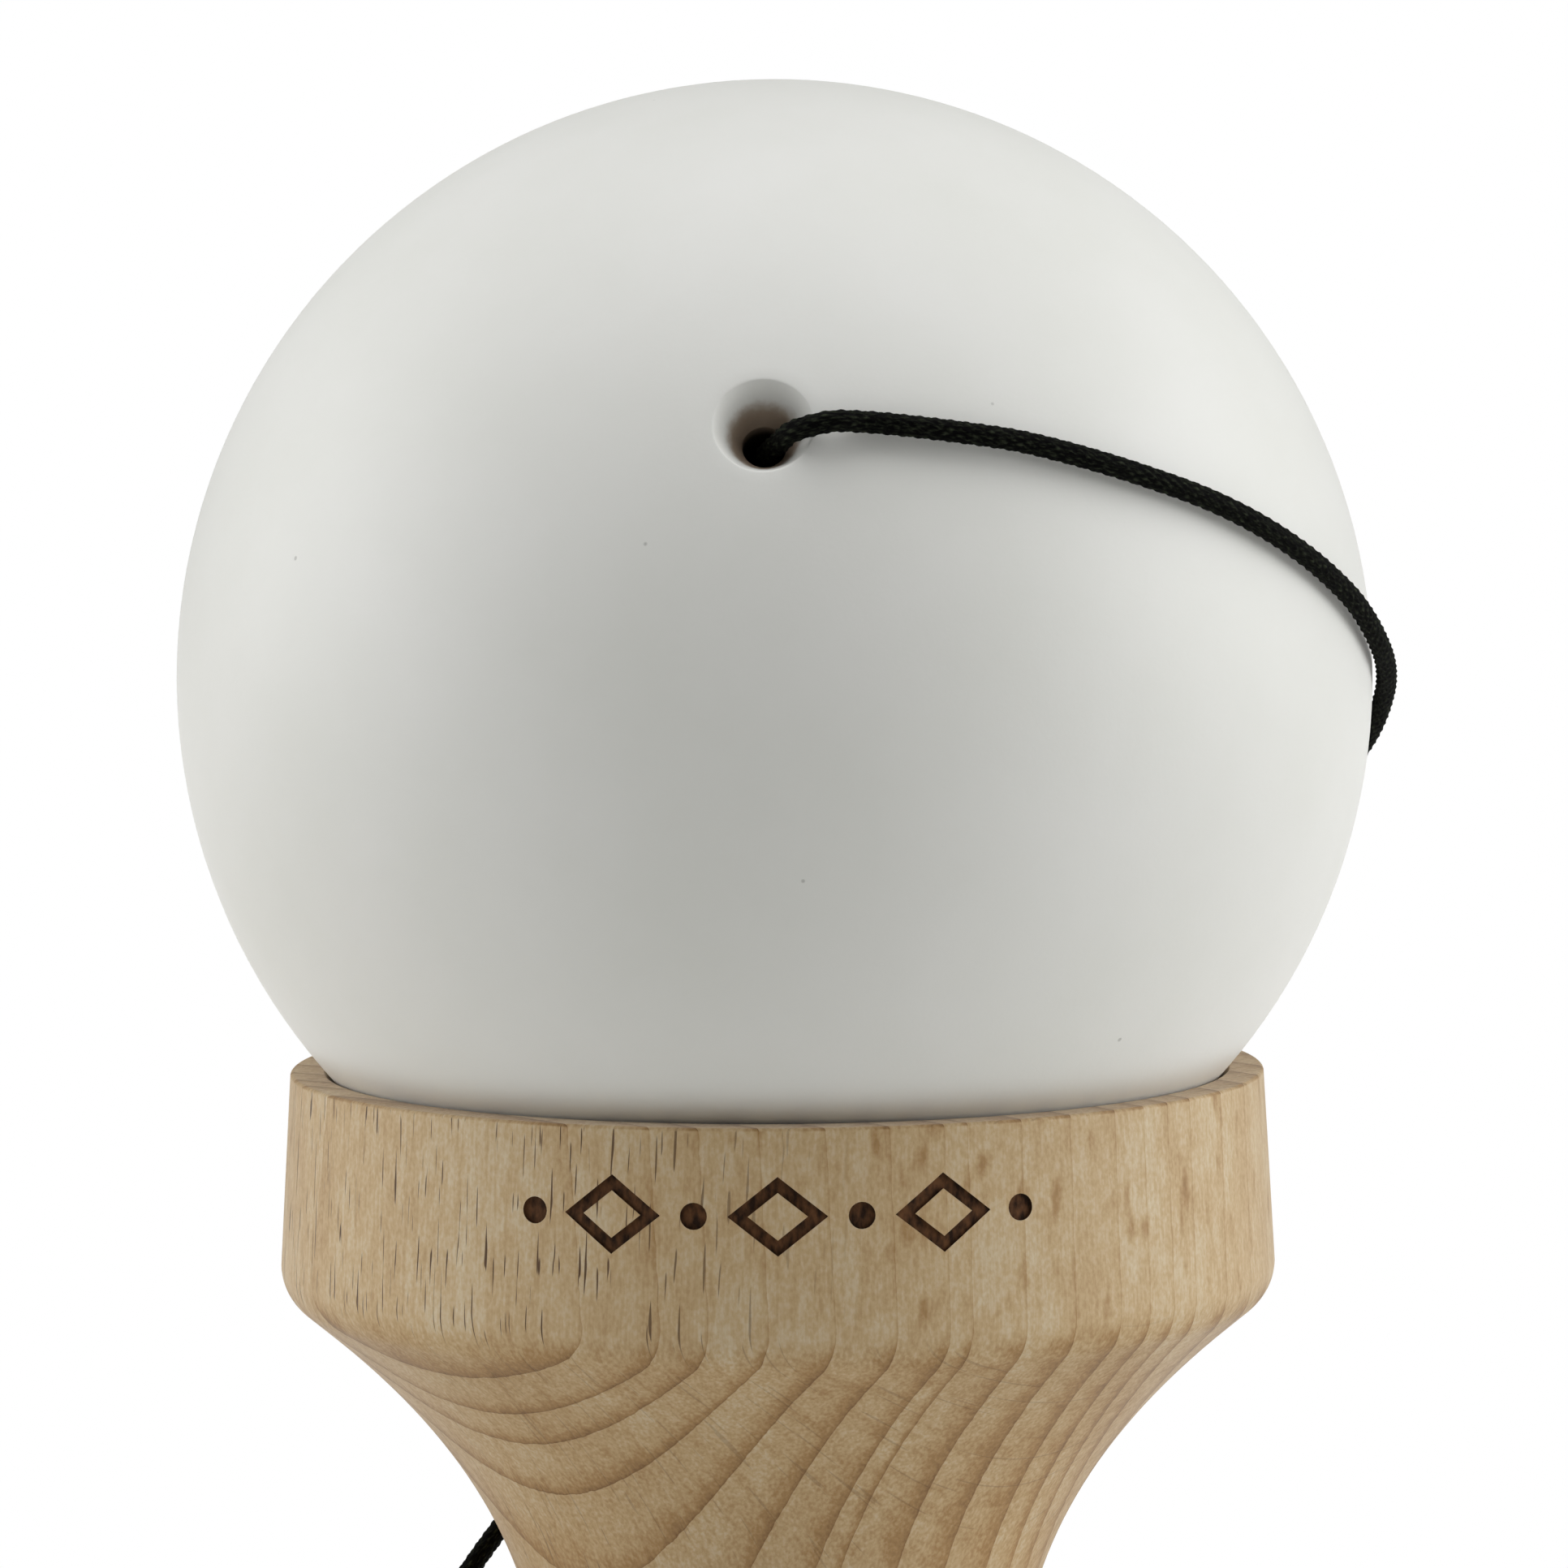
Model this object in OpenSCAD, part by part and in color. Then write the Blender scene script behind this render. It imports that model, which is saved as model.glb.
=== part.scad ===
// Cup and ball toy: a turned handle with a spike, a crosspiece with two cups, and a ball on a string.
// Millimetres, +Z up. The origin is on the floor, on the crosspiece's axis. The toy stands on the rim of
// the small cup, with the big cup up and the ball resting in it. The handle lies along X, spike to +X.
// The drilled axis of the ball points to the front (-Y), with the string hole in front.

/* [Ball] */
// Diameter of the ball
ball_d = 60; // [54:1:70]
// Angle of the ball's drilled axis above level
hole_tilt = 27.5; // [10:0.5:40]
// Angle of that axis to the left of the front
hole_turn = 1; // [0:0.5:10]
// Diameter of the hole that takes the spike
spike_hole_d = 19; // [17:0.5:24]
// Depth of that hole's straight wall below the ball's far side
spike_hole_depth = 38; // [32:0.5:42]
// Width of the bevel round that hole's mouth
bevel_w = 2.5; // [1:0.25:4]
// Included angle of that hole's pointed end
drill_angle = 118; // [90:1:140]
// Diameter of the hole that the string runs through
ball_string_hole_d = 2.1; // [2:0.1:3]
// Diameter of the countersunk mouth of the string hole
string_mouth_d = 4.7; // [3.6:0.1:6]
// Depth of that countersink
string_mouth_depth = 2.5; // [1.5:0.1:4]

/* [Crosspiece] */
// Height of the handle's axis above the small cup's rim
ken_height = 35.5; // [33:0.5:40]
// Length of the crosspiece from rim to rim
sarado_len = 71.2; // [69:0.1:78]
// Diameter of the waist, where the handle goes through
waist_d = 23.8; // [21:0.1:25]
// How late the neck widens towards a cup: 1 is a straight cone
neck_power = 2.5; // [1.6:0.1:3]
// Rounding of the shoulder below each cup's band
shoulder_round = 2.7; // [1:0.1:4]
// Rounding of each cup's rim
rim_round = 0.2; // [0.1:0.05:0.9]

/* [Big cup] */
// Outer diameter at the rim
big_rim_d = 49.1; // [48.4:0.1:54]
// Outer diameter at the shoulder
big_shoulder_d = 50.2; // [48:0.1:54]
// Height of the band from the rim down to the shoulder's corner
big_band_h = 11.1; // [8:0.1:14]
// Diameter of the hollow at the rim
big_mouth_d = 45.7; // [42:0.1:47.2]
// Depth of the hollow
big_depth = 13.5; // [12.5:0.1:16]

/* [Small cup] */
// Outer diameter at the rim
small_rim_d = 41; // [40:0.1:45]
// Outer diameter at the shoulder
small_shoulder_d = 42; // [40:0.1:45]
// Height of the band from the rim up to the shoulder's corner
small_band_h = 10; // [7:0.1:12]
// Diameter of the hollow at the rim
small_mouth_d = 38; // [34:0.1:38.5]
// Depth of the hollow
small_depth = 9; // [7:0.1:12]

/* [Handle] */
// Distance from the crosspiece's axis to the base cup's rim
handle_len = 90; // [80:1:105]
// Outer diameter of the base cup at its rim
base_rim_d = 38; // [37:0.1:42]
// Outer diameter of the base cup at its shoulder
base_shoulder_d = 39; // [37:0.1:42]
// Length of the base cup's band
base_band_h = 6; // [5:0.1:9]
// Diameter of the base cup's hollow at the rim
base_mouth_d = 35; // [30:0.1:35.5]
// Depth of the base cup's hollow
base_depth = 7.5; // [6.5:0.1:9]
// Distance from the base cup's rim to the thinnest place of the handle
grip_waist_at = 30; // [25:0.5:36]
// Diameter of the handle at its thinnest place
grip_waist_d = 16; // [14:0.1:19]
// Diameter of the handle where it meets the crosspiece
grip_end_d = 17.6; // [17:0.1:19]
// Rounding of the handle's end next to the crosspiece
grip_round = 0.8; // [0.2:0.1:1]

/* [Spike] */
// Distance from the crosspiece's axis to the spike's tip
spike_len = 76; // [66:1:90]
// Diameter of the handle's seat in the crosspiece, at the handle side
seat_d = 15.6; // [14:0.1:16]
// Diameter of that seat at the spike side
seat_end_d = 15; // [13.6:0.1:15.5]
// Diameter of the spike where its tip begins
tip_d = 7; // [5:0.1:9]
// Length of the rounded tip
tip_len = 3; // [2:0.1:5]

/* [String] */
// Diameter of the string
string_d = 1.1; // [1:0.05:1.4]
// Diameter of the string hole through the crosspiece and the handle
ken_string_hole_d = 2.6; // [2:0.1:3.2]
// Diameter of the recess that takes the handle's knot
knot_recess_d = 5.4; // [5:0.1:6.5]
// Depth of that recess below the seat's surface
knot_recess_depth = 4.6; // [4.2:0.1:5.5]
// Diameter of each knot
knot_d = 3.8; // [3.4:0.1:4.2]
// Length of each knot
knot_len = 3.4; // [3:0.1:3.8]
// Diameter of the bead that holds the string in the ball
bead_d = 9; // [8:0.1:11]
// Diameter of the bead's bore
bead_bore_d = 2; // [1.8:0.1:2.6]
// Width of the flat at each end of the bead
bead_flat_d = 4.4; // [4:0.1:5]

/* [Fits] */
// Gap between the ball and the big cup's rim
seat_gap = 0.15; // [0.05:0.05:0.4]
// Gap between the string and the ball that it lies on
string_gap = 0.15; // [0.1:0.05:0.5]
// Gap between the bead and the hole's pointed end
bead_gap = 0.15; // [0.1:0.05:0.4]
// Gap all round between the handle's seat and the crosspiece
taper_gap = 0.02; // [0:0.01:0.06]
// Gap between the handle's end and the crosspiece
shoulder_gap = 0.2; // [0.1:0.05:0.6]

/* [Hidden] */
// Segments of a full turn
turn = 96;
// Segments of a turned curve
curve_steps = 20;
// Segments of a small rounding
round_steps = 6;
// How far a cutter reaches past a surface
past = 3;
// How far below the ball's surface the free string begins
string_start = 4;
// How far below the waist's surface the free string ends
string_stop = 2;
// How far behind the crosspiece the string turns towards its hole
turn_in = 4;
// Gap between the string and the floor
floor_gap = 0.1;

// Radii taken from the diameters above
ball_r = ball_d / 2;
waist_r = waist_d / 2;
string_r = string_d / 2;
string_hole_r = ball_string_hole_d / 2;
spike_hole_r = spike_hole_d / 2;

// Height of the big cup's side and of the ball's centre
big_len = sarado_len - ken_height;
ball_z = sarado_len + sqrt(pow(ball_r + seat_gap, 2) - pow(big_mouth_d / 2, 2));

// Radius of a spherical hollow with a given mouth and depth
function hollow_r(mouth_d, depth) = (pow(mouth_d / 2, 2) + depth * depth) / (2 * depth);

// Points of an arc, as [radius, height]
function arc(c, r, from, to) =
    [for (i = [0 : round_steps]) let (a = from + (to - from) * i / round_steps) c + r * [cos(a), sin(a)]];

// Radius of a neck at a height above the waist
function neck_at(h, w_r, shoulder_r, shoulder_h) =
    w_r + (shoulder_r - w_r) * pow(h / shoulder_h, neck_power);

// Slope of a neck at its shoulder, and the length that the shoulder's rounding takes up
function neck_slope(w_r, shoulder_r, shoulder_h) = atan(neck_power * (shoulder_r - w_r) / shoulder_h);
function round_len(slope) = shoulder_round * tan(slope / 2);

// Outline of one cup from just above the waist to the rim, as [radius, height above the waist]
function cup_side(w_r, shoulder_r, shoulder_h, rim_r, rim_h) =
    let (slope = neck_slope(w_r, shoulder_r, shoulder_h))
    let (start = round_len(slope))
    let (neck_end = shoulder_h - start * cos(slope))
    concat(
        [for (i = [1 : curve_steps - 1])
            let (h = neck_end * i / curve_steps) [neck_at(h, w_r, shoulder_r, shoulder_h), h]],
        arc([shoulder_r - shoulder_round, shoulder_h + start], shoulder_round, -slope, 0),
        arc([rim_r - rim_round, rim_h - rim_round], rim_round, 0, 90)
    );

function mirrored(points) = [for (i = [len(points) - 1 : -1 : 0]) [points[i][0], -points[i][1]]];

// Outline of the crosspiece, as [radius, height above the handle's axis]
big_shoulder_h = big_len - big_band_h;
small_shoulder_h = ken_height - small_band_h;
sarado_outline = concat(
    [[0, -ken_height]],
    mirrored(cup_side(waist_r, small_shoulder_d / 2, small_shoulder_h, small_rim_d / 2, ken_height)),
    [[waist_r, 0]],
    cup_side(waist_r, big_shoulder_d / 2, big_shoulder_h, big_rim_d / 2, big_len),
    [[0, big_len]]
);

// The handle's end stands off the neck, where the neck is widest behind it
shoulder_x = neck_at(grip_end_d / 2, waist_r, big_shoulder_d / 2, big_shoulder_h) + shoulder_gap;
grip_waist_x = grip_waist_at - handle_len;
grip_r = grip_end_d / 2;

// Swelling of the grip from its thinnest place to the crosspiece
function grip_at(s) = grip_waist_d / 2 + (grip_r - grip_waist_d / 2) * s * s * (3 - 2 * s);
grip_len = -shoulder_x - grip_round - grip_waist_x;

// Outline of the handle, as [radius, X], from the base cup to the spike's tip
base_side = cup_side(grip_waist_d / 2, base_shoulder_d / 2, grip_waist_at - base_band_h,
    base_rim_d / 2, grip_waist_at);
ken_outline = concat(
    [[0, -handle_len]],
    [for (p = mirrored(base_side)) p + [0, grip_waist_x]],
    [for (i = [0 : curve_steps - 1])
        [grip_at(i / curve_steps), grip_waist_x + grip_len * i / curve_steps]],
    arc([grip_r - grip_round, -shoulder_x - grip_round], grip_round, 0, 90),
    [[seat_d / 2, -shoulder_x], [seat_end_d / 2, shoulder_x]],
    [for (i = [0 : round_steps])
        let (a = 90 * i / round_steps) [tip_d / 2 * cos(a), spike_len - tip_len + tip_len * sin(a)]]
);

// Outline of everything that is drilled out of the ball, as [radius, height along the drilled axis]
bore_end = spike_hole_depth - ball_r;
point_slope = tan(drill_angle / 2);
point_z = bore_end + (spike_hole_r - string_hole_r) / point_slope;
bevel_r = spike_hole_r + bevel_w;
bevel_z = -sqrt(ball_r * ball_r - bevel_r * bevel_r);
mouth_r = string_mouth_d / 2;
mouth_top = sqrt(ball_r * ball_r - mouth_r * mouth_r);
mouth_slope = (mouth_r - string_hole_r) / string_mouth_depth;
bore_outline = [
    [0, bevel_z - past], [bevel_r + past, bevel_z - past],
    [spike_hole_r, bevel_z + bevel_w], [spike_hole_r, bore_end],
    [string_hole_r, point_z], [string_hole_r, mouth_top - string_mouth_depth],
    [mouth_r + past * mouth_slope, mouth_top + past], [0, mouth_top + past]
];

// The bead sits in the hole's pointed end, and the knot sits under the bead
bead_z = point_z + string_hole_r / point_slope - (bead_d / 2 + bead_gap) / sin(drill_angle / 2);
bead_half = sqrt(bead_d * bead_d - bead_flat_d * bead_flat_d) / 2;
bead_knot_z = bead_z - bead_half;
ball_end_z = ball_r - string_start;

// The handle's knot sits at the bottom of its recess
ken_knot_y = knot_recess_depth - seat_d / 2;
ken_end_y = waist_r - string_stop;

// Direction of the drilled axis, and the directions across it to the right and up
drilled = [-sin(hole_turn) * cos(hole_tilt), -cos(hole_turn) * cos(hole_tilt), sin(hole_tilt)];
drilled_right = [cos(hole_turn), -sin(hole_turn), 0];
drilled_up = cross(drilled, drilled_right);

// The string comes out of the hole along its lower right side and bends over the mouth's edge.
// Places there are given to the right, up and out of the ball's surface
in_mouth_places = [[0, 0, -string_start], [0.38, -0.18, -2.4], [0.8, -0.35, -1.2], [1.25, -0.42, -0.1],
    [2.1, -0.4, 0.56], [3.3, -0.25, 0.8]];
function in_mouth(p) = [0, 0, ball_z] + p[0] * drilled_right + p[1] * drilled_up + (ball_r + p[2]) * drilled;

// Then it lies on the ball. Places there are given as degrees round from the front and degrees up
path_r = ball_r + string_gap + string_r;
on_ball_angles = [[9, 27], [13, 26.6], [19, 25.8], [25, 24.8], [32, 23], [39, 20.9], [46, 18.6], [53, 15.8],
    [60, 12.6], [67, 9.2], [72, 6.6], [77, 4], [82, 1.8], [87, -0.4], [91, -2.3], [95, -4.5], [99, -6.8],
    [104, -9.6], [110, -12.6], [117, -16], [125, -20]];
function on_ball(p) = [0, 0, ball_z] +
    path_r * [cos(p[1]) * sin(p[0]), -cos(p[1]) * cos(p[0]), sin(p[1])];

// The rest of the string leans on the back of the big cup and on the back of the handle, lies on the
// floor in one loose bow behind the toy and comes up to the string hole in the back of the crosspiece
floor_z = string_r + floor_gap;
route = concat(
    [for (p = in_mouth_places) in_mouth(p)],
    [for (p = on_ball_angles) on_ball(p)],
    [[17, 21, 73], [10, 24, 67], [2, 26, 60], [-8, 20, 52], [-14.8, 14, 45], [-18.7, 11, 39], [-21.5, 10, 31],
        [-24, 10, 22], [-26, 12, 13], [-27, 17, 5], [-28, 25, 1.2], [-28, 35, floor_z], [-23, 46, floor_z],
        [-11, 54, floor_z], [6, 55, floor_z], [20, 49, floor_z], [27, 38, floor_z], [23, 29, 1.5],
        [14, 25, 7], [5, 24, 17], [1, 23, 27]],
    [[0, waist_r + 2 * turn_in, ken_height - 3], [0, waist_r + turn_in, ken_height],
        [0, ken_end_y, ken_height]]
);

// Smooth line through the route, with a ring at least every ring_gap
ring_gap = 8;
sides = 8;
last = len(route) - 1;
function at(i) = route[max(0, min(last, i))];
function steps(i) = ceil(norm(at(i + 1) - at(i)) / ring_gap);
function curve(i, s) = 0.5 * (2 * at(i) + (at(i + 1) - at(i - 1)) * s
    + (2 * at(i - 1) - 5 * at(i) + 4 * at(i + 1) - at(i + 2)) * s * s
    + (3 * at(i) - at(i - 1) - 3 * at(i + 1) + at(i + 2)) * s * s * s);
line = concat([for (i = [0 : last - 1], k = [0 : steps(i) - 1]) curve(i, k / steps(i))], [at(last)]);

// Direction of the line at each ring, square to the end faces, and a cross direction carried along it
function unit(v) = v / norm(v);
top_ring = len(line) - 1;
ways = [for (i = [0 : top_ring])
    i == 0 ? drilled : i == top_ring ? [0, -1, 0] : unit(line[i + 1] - line[i - 1])];
function carried(n, way) = unit(n - (n * way) * way);
function across(i, n) = i > top_ring ? [] :
    let (m = carried(n, ways[i])) concat([m], across(i + 1, m));
cross_ways = across(0, [1, 0, 0]);
rings = [for (i = [0 : top_ring], k = [0 : sides - 1])
    let (a = 360 * k / sides)
    line[i] + string_r * (cos(a) * cross_ways[i] + sin(a) * cross(ways[i], cross_ways[i]))];
function ring_at(i, k) = i * sides + k % sides;
tube_faces = concat(
    [[for (k = [0 : sides - 1]) ring_at(0, k)]],
    [for (i = [0 : top_ring - 1], k = [0 : sides - 1])
        [ring_at(i, k), ring_at(i + 1, k), ring_at(i + 1, k + 1)]],
    [for (i = [0 : top_ring - 1], k = [0 : sides - 1])
        [ring_at(i, k), ring_at(i + 1, k + 1), ring_at(i, k + 1)]],
    [[for (k = [sides - 1 : -1 : 0]) ring_at(top_ring, k)]]
);

// Outline of a knot that starts at a flat face as wide as the string
knot_flat = asin(string_d / knot_d);
knot_outline = concat(
    [[0, 0]],
    [for (i = [0 : curve_steps])
        let (a = knot_flat + (180 - knot_flat) * i / curve_steps)
        [knot_d / 2 * sin(a), knot_len * (cos(knot_flat) - cos(a)) / (1 + cos(knot_flat))]]
);

beech = [0.78, 0.66, 0.50];
white = [0.90, 0.90, 0.87];
black = [0.08, 0.09, 0.08];
pale_wood = [0.82, 0.72, 0.56];

// Places a piece on the ball's drilled axis
module along_drilled() {
    translate([0, 0, ball_z])
        rotate([90 - hole_tilt, 0, -hole_turn])
            children();
}

// Places a piece on the handle's axis
module along_handle() {
    translate([0, 0, ken_height])
        rotate([0, 90, 0])
            children();
}

// Places a piece on the string hole through the handle, which runs from +Y to -Y
module along_string_hole(y) {
    translate([0, y, ken_height])
        rotate([90, 0, 0])
            children();
}

// Spherical hollow whose mouth lies in the plane Z = 0 and which is cut downwards
module hollow(mouth_d, depth) {
    translate([0, 0, hollow_r(mouth_d, depth) - depth])
        sphere(r = hollow_r(mouth_d, depth), $fn = turn);
}

// Handle, spike and base cup, turned in one piece
module ken() {
    color(beech)
        difference() {
            along_handle()
                rotate_extrude($fn = turn)
                    polygon(ken_outline);
            translate([-handle_len, 0, ken_height])
                rotate([0, -90, 0])
                    hollow(base_mouth_d, base_depth);
            along_string_hole(seat_d)
                cylinder(h = 2 * seat_d, d = ken_string_hole_d, $fn = turn);
            along_string_hole(ken_knot_y)
                cylinder(h = seat_d, d = knot_recess_d, $fn = turn);
        }
}

// Crosspiece with the big cup up and the small cup down
module sarado() {
    color(beech)
        difference() {
            translate([0, 0, ken_height])
                rotate_extrude($fn = turn)
                    polygon(sarado_outline);
            translate([0, 0, sarado_len])
                hollow(big_mouth_d, big_depth);
            rotate([180, 0, 0])
                hollow(small_mouth_d, small_depth);
            translate([-2 * shoulder_x, 0, 0])
                along_handle()
                    cylinder(h = 4 * shoulder_x, r1 = seat_d / 2 + taper_gap + (seat_d - seat_end_d) / 4,
                        r2 = seat_end_d / 2 + taper_gap - (seat_d - seat_end_d) / 4, $fn = turn);
            along_string_hole(2 * waist_r)
                cylinder(h = 2 * waist_r, d = ken_string_hole_d, $fn = turn);
        }
}

// Ball, drilled from one side for the spike and from the other for the string
module tama() {
    color(white)
        along_drilled()
            difference() {
                sphere(r = ball_r, $fn = turn);
                rotate_extrude($fn = turn)
                    polygon(bore_outline);
            }
}

// Bead inside the ball
module bead() {
    color(pale_wood)
        along_drilled()
            translate([0, 0, bead_z])
                difference() {
                    intersection() {
                        sphere(d = bead_d, $fn = turn);
                        cylinder(h = 2 * bead_half, d = 2 * bead_d, center = true, $fn = turn);
                    }
                    cylinder(h = 2 * bead_d, d = bead_bore_d, center = true, $fn = turn);
                }
}

// Knot under the bead
module bead_knot() {
    color(black)
        along_drilled()
            translate([0, 0, bead_knot_z])
                rotate([180, 0, 0])
                    rotate_extrude($fn = turn)
                        polygon(knot_outline);
}

// String from the bead's knot to just inside the ball's surface
module string_ball_end() {
    color(black)
        along_drilled()
            translate([0, 0, bead_knot_z])
                cylinder(h = ball_end_z - bead_knot_z, d = string_d, $fn = turn);
}

// String from the ball to the crosspiece
module string_free() {
    color(black)
        polyhedron(points = rings, faces = tube_faces);
}

// String from the back of the crosspiece through the handle
module string_ken_end() {
    color(black)
        along_string_hole(ken_end_y)
            cylinder(h = ken_end_y - ken_knot_y, d = string_d, $fn = turn);
}

// Knot in the handle's recess
module ken_knot() {
    color(black)
        along_string_hole(ken_knot_y)
            rotate_extrude($fn = turn)
                polygon(knot_outline);
}

ken();
sarado();
tama();
bead();
bead_knot();
string_ball_end();
string_free();
string_ken_end();
ken_knot();
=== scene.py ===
from math import acos, asin, atan, cos, degrees, pi, radians, sin, sqrt, tan, tau

import bmesh
import bpy
import numpy as np
from mathutils import Matrix, Vector


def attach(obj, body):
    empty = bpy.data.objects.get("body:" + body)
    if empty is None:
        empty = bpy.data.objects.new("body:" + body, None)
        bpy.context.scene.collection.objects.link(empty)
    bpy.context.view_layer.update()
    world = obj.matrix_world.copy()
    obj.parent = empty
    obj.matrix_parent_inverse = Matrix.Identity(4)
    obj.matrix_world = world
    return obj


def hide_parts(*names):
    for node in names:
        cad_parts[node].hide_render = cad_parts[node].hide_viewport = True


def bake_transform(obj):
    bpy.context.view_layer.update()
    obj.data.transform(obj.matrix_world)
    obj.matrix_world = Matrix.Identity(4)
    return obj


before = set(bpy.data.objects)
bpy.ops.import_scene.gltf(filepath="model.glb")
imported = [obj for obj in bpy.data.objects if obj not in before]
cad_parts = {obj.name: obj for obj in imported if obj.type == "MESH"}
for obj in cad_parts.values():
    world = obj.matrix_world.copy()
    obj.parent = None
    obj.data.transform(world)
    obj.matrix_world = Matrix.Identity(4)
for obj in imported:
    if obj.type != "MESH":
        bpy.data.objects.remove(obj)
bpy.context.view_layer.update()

# Camera: a long lens in front of the toy, a little above the ball's centre.
# The picture cuts the toy off below the big cup's neck. Sizes here and below are in millimetres.
MM = 0.001
picture_px = 1932
focal_px = 9821
camera_far = 400
camera_high = 120
nearest = 50
look_down = radians(4.93)
look_right = radians(0.063)
camera_roll = radians(0.33)

camera = bpy.data.objects.new("camera", bpy.data.cameras.new("camera"))
camera.data.sensor_width = 36
camera.data.lens = camera.data.sensor_width * focal_px / picture_px
camera.data.clip_start = nearest * MM
camera.matrix_world = (
    Matrix.Translation((0, -camera_far * MM, camera_high * MM))
    @ Matrix.Rotation(-look_right, 4, "Z")
    @ Matrix.Rotation(pi / 2 - look_down, 4, "X")
    @ Matrix.Rotation(-camera_roll, 4, "Z")
)
bpy.context.collection.objects.link(camera)
bpy.context.scene.camera = camera

# String: one length of black braided nylon, about 1.1 mm thick, from the knot under the bead in the ball
# to the knot in the handle. It leans on the ball and the toy's back and lies in one bow on the floor.
string_r = 0.55
string_step = 0.13
ball_gap = 0.15
floor_gap = 0.1
crosspiece_len = 71.2
big_mouth_r = 22.85
ball_r = 30
ball_z = crosspiece_len + sqrt((ball_r + ball_gap) ** 2 - big_mouth_r**2)
hole_tilt = radians(27.5)
hole_turn = radians(1)
handle_height = 35.5
waist_r = 11.9
bead_knot_z = 4.36
handle_knot_y = -3.2

# Frame of the ball: Z along its drilled axis, out of the string hole
ball_place = (
    Matrix.Translation((0, 0, ball_z))
    @ Matrix.Rotation(-hole_turn, 4, "Z")
    @ Matrix.Rotation(pi / 2 - hole_tilt, 4, "X")
)


def in_ball(across, up, out):
    """A point in the ball's frame, out of the ball's surface or, where that is negative, below it."""
    return ball_place @ Vector((across, up, ball_r + out))


def on_ball(around, up):
    """The middle of the string where it lies on the ball, by its degrees round from the front and up."""
    around, up = radians(around), radians(up)
    way = Vector((cos(up) * sin(around), -cos(up) * cos(around), sin(up)))
    return Vector((0, 0, ball_z)) + (ball_r + ball_gap + string_r) * way


floor_z = string_r + floor_gap
in_mouth = [(0, 0, -4), (0.38, -0.18, -2.4), (0.8, -0.35, -1.2), (1.25, -0.42, -0.1), (2.1, -0.4, 0.56),
            (3.3, -0.25, 0.8)]
round_ball = [(9, 27), (13, 26.6), (19, 25.8), (25, 24.8), (32, 23), (39, 20.9), (46, 18.6), (53, 15.8),
              (60, 12.6), (67, 9.2), (72, 6.6), (77, 4), (82, 1.8), (87, -0.4), (91, -2.3), (95, -4.5),
              (99, -6.8), (104, -9.6), (110, -12.6), (117, -16), (125, -20)]
behind_toy = [(17, 21, 73), (10, 24, 67), (2, 26, 60), (-8, 20, 52), (-14.8, 14, 45), (-18.7, 11, 39),
              (-21.5, 10, 31), (-24, 10, 22), (-26, 12, 13), (-27, 17, 5), (-28, 25, 1.2), (-28, 35, floor_z),
              (-23, 46, floor_z), (-11, 54, floor_z), (6, 55, floor_z), (20, 49, floor_z), (27, 38, floor_z),
              (23, 29, 1.5), (14, 25, 7), (5, 24, 17), (1, 23, 27)]
into_handle = [(0, waist_r + 8, handle_height - 3), (0, waist_r + 4, handle_height),
               (0, waist_r - 2, handle_height)]
route = [in_ball(0, 0, out) for out in np.linspace(bead_knot_z - ball_r, in_mouth[0][2], 8)[:-1]]
route += [in_ball(*point) for point in in_mouth]
route += [on_ball(*point) for point in round_ball]
route += [Vector(point) for point in behind_toy + into_handle]
route += [Vector((0, y, handle_height)) for y in np.linspace(into_handle[-1][1], handle_knot_y, 5)[1:]]


def smooth_line(points, gap):
    """Even points, gap apart, on a smooth curve through the given points."""
    points = np.array(points, float)
    held = np.vstack([points[:1], points, points[-1:]])
    s = np.linspace(0, 1, 40, endpoint=False)[:, None]
    fine = []
    for a, b, c, d in zip(held, held[1:], held[2:], held[3:]):
        bend = 2 * a - 5 * b + 4 * c - d
        twist = 3 * b - a - 3 * c + d
        fine.append(0.5 * (2 * b + (c - a) * s + bend * s**2 + twist * s**3))
    fine = np.vstack(fine + [points[-1:]])
    along = np.concatenate([[0], np.cumsum(np.linalg.norm(np.diff(fine, axis=0), axis=1))])
    places = np.linspace(0, along[-1], round(along[-1] / gap) + 1)
    return np.stack([np.interp(places, along, fine[:, k]) for k in range(3)], 1)


def piece_from(name, bm):
    """A new object with the finished mesh."""
    piece = bpy.data.objects.new(name, bpy.data.meshes.new(name))
    bm.to_mesh(piece.data)
    bm.free()
    bpy.context.collection.objects.link(piece)
    return piece


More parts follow.
